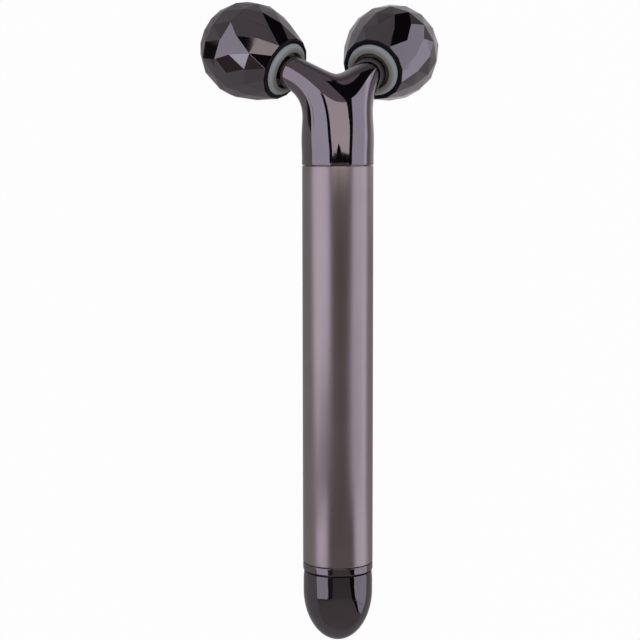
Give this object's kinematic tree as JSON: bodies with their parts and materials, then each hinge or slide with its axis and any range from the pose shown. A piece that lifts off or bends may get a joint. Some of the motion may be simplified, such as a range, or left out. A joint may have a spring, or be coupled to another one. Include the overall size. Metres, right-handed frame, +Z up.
{
  "type": "facial toning roller",
  "caption": "Y-shaped facial toning wand: faceted gunmetal rollers on a polished forked neck, satin tube handle and a twist end cap over a battery-driven vibration motor.",
  "frame": {"origin": "middle of the device's footprint, on the surface it lies on", "axes": "+Z up; +Y from the end cap towards the rollers; +X across, towards the right-hand roller. The device lies on its two rollers and its end cap, with the handle raised 8.3 degrees"},
  "size_m": [0.063, 0.1654, 0.0347],
  "materials": {
    "ball_plating": "faceted, polished gunmetal chrome plating",
    "neck_polish": "polished gunmetal plating",
    "cap_polish": "polished dark gunmetal plating",
    "handle_satin": "satin taupe-grey anodised",
    "band_polish": "polished gunmetal plating",
    "collar_clear": "pale grey-green translucent, smooth",
    "black_acetal": "black, smooth",
    "bronze_bush": "sintered bronze",
    "axle_steel": "ground steel",
    "seal_rubber": "black nitrile",
    "white_nylon": "natural nylon",
    "motor_steel": "drawn steel, dull",
    "magnet_dark": "sintered, dark",
    "winding_copper": "enamelled copper",
    "contact_brass": "bright brass",
    "cell_wrap": "plain wrapped cell",
    "nickel_plate": "nickel plated"
  },
  "bodies": {
    "root": {"neck_yoke": "neck_polish", "neck_o_ring": "seal_rubber", "motor_carrier": "white_nylon", "motor_can": "motor_steel", "motor_magnets": "magnet_dark", "motor_end_cap": "white_nylon", "positive_contact": "contact_brass", "ground_strap": "contact_brass", "handle_tube": "handle_satin", "battery_sleeve": "white_nylon", "battery_cell": "cell_wrap", "battery_button": "nickel_plate", "tail_collar": "band_polish", "tail_gasket": "seal_rubber", "left_axle": "axle_steel", "left_axle_washer": "axle_steel", "left_axle_screw": "axle_steel", "left_thrust_washer": "white_nylon", "right_axle": "axle_steel", "right_axle_washer": "axle_steel", "right_axle_screw": "axle_steel", "right_thrust_washer": "white_nylon"},
    "left_ball": {"left_ball_shell": "ball_plating", "left_ball_hub": "black_acetal", "left_inner_bush": "bronze_bush", "left_outer_bush": "bronze_bush", "left_collar": "collar_clear"},
    "right_ball": {"right_ball_shell": "ball_plating", "right_ball_hub": "black_acetal", "right_inner_bush": "bronze_bush", "right_outer_bush": "bronze_bush", "right_collar": "collar_clear"},
    "motor_rotor": {"motor_armature": "winding_copper", "eccentric_weight": "motor_steel"},
    "tail_contact": {"contact_rivet": "contact_brass", "contact_disc": "contact_brass", "contact_spring": "nickel_plate"},
    "tail_cap": {"end_cap": "cap_polish", "cap_plug": "black_acetal"}
  },
  "joints": [
    {"name": "left_ball_spin", "type": "hinge", "parent": "root", "child": "left_ball", "pos_m": [-0.0114, 0.06379, 0.02055], "axis": [-0.5976, 0.4895, -0.635], "continuous": true},
    {"name": "right_ball_spin", "type": "hinge", "parent": "root", "child": "right_ball", "pos_m": [0.0114, 0.06379, 0.02055], "axis": [0.5976, 0.4895, -0.635], "continuous": true},
    {"name": "motor_spin", "type": "hinge", "parent": "root", "child": "motor_rotor", "pos_m": [0, 0.03088, 0.02371], "axis": [0, 0.9895, 0.1449], "continuous": true},
    {"name": "cap_travel", "type": "slide", "parent": "root", "child": "tail_contact", "axis": [0, -0.9895, -0.1449], "range_m": [-0.00025, 0.004]},
    {"name": "cap_turn", "type": "hinge", "parent": "tail_contact", "child": "tail_cap", "pos_m": [0, -0.06608, 0.00951], "axis": [0, -0.9895, -0.1449], "range_deg": [-90, 1440]}
  ],
  "couplings": [
    {"joint": "cap_turn", "follows": "cap_travel", "rad_per_m": 6283.2}
  ]
}
